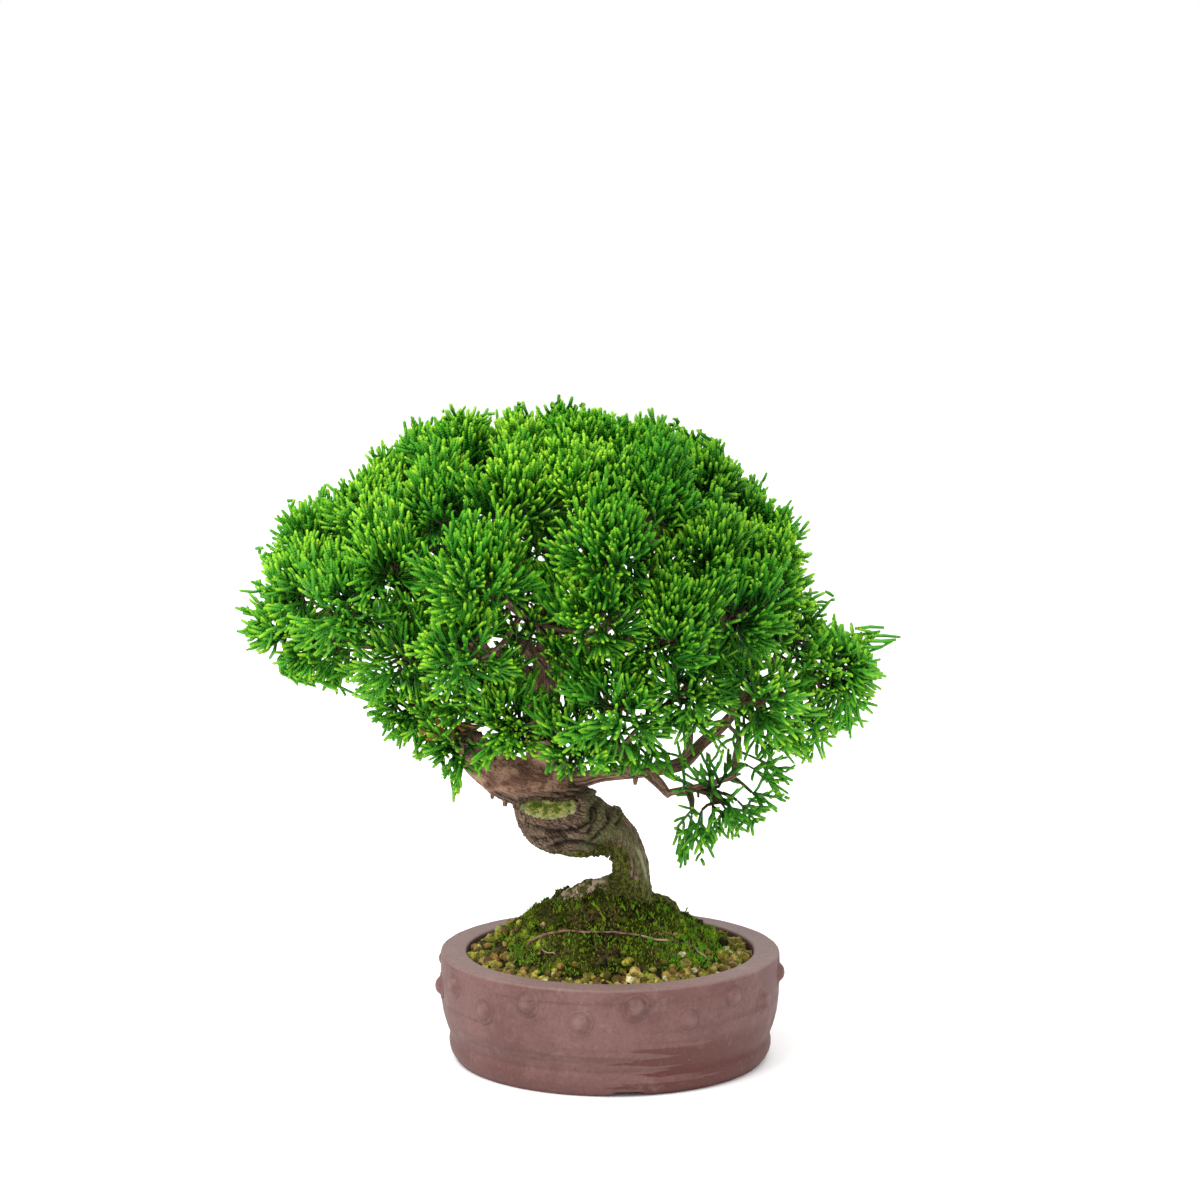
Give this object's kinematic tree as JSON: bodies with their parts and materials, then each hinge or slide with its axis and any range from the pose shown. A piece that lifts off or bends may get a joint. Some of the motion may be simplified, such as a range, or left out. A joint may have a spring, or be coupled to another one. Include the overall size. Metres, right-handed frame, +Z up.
{
  "type": "itoigawa juniper bonsai in a round drum pot",
  "caption": "Small shimpaku juniper bonsai with a coiled trunk and a broad, dense crown of cord-like green shoots, in a round unglazed drum pot with studs, moss and granular soil.",
  "frame": {"origin": "on the floor below the middle of the whole plant's box, seen from above", "axes": "+Z up, +X to the viewer's right in the picture, +Y away from the viewer; -Z is the outward direction of the pot's foot"},
  "size_m": [0.3424, 0.27, 0.3377],
  "materials": {
    "clay": "matt purple-brown unglazed clay with a faint chalky bloom",
    "screen": "dark woven plastic mesh",
    "wire": "copper-coloured soft wire",
    "soil": "tan and ochre baked-clay granules, matt and porous",
    "moss": "short dense dark green moss with brighter tips",
    "bark": "fibrous red-grey bark, rough, with olive moss and lichen low down",
    "foliage": "satin scale leaves on cord-like shoots, mid green with yellow-green tips"
  },
  "bodies": {
    "root": {"pot": "clay", "drain_screen_1": "screen", "drain_screen_2": "screen", "drain_clip_1": "wire", "drain_clip_2": "wire", "soil": "soil", "moss": "moss", "trunk": "bark", "surface_root": "bark", "foliage_01": "foliage", "foliage_02": "foliage", "foliage_03": "foliage", "foliage_04": "foliage", "foliage_05": "foliage", "foliage_06": "foliage", "foliage_07": "foliage", "foliage_08": "foliage", "foliage_09": "foliage", "foliage_10": "foliage", "foliage_11": "foliage", "foliage_12": "foliage", "foliage_13": "foliage", "foliage_14": "foliage", "foliage_15": "foliage", "foliage_16": "foliage", "foliage_17": "foliage", "foliage_18": "foliage", "foliage_19": "foliage", "foliage_20": "foliage", "foliage_21": "foliage", "foliage_22": "foliage", "foliage_23": "foliage", "foliage_24": "foliage", "foliage_25": "foliage", "foliage_26": "foliage", "foliage_27": "foliage", "foliage_28": "foliage", "foliage_29": "foliage", "foliage_30": "foliage", "foliage_31": "foliage", "foliage_32": "foliage", "foliage_33": "foliage", "foliage_34": "foliage", "foliage_35": "foliage", "foliage_36": "foliage", "foliage_37": "foliage", "foliage_38": "foliage", "foliage_39": "foliage", "foliage_40": "foliage", "foliage_41": "foliage", "foliage_42": "foliage", "foliage_43": "foliage", "foliage_44": "foliage", "foliage_45": "foliage", "foliage_46": "foliage", "foliage_47": "foliage", "foliage_48": "foliage", "foliage_49": "foliage", "foliage_50": "foliage", "foliage_51": "foliage"}
  },
  "joints": []
}
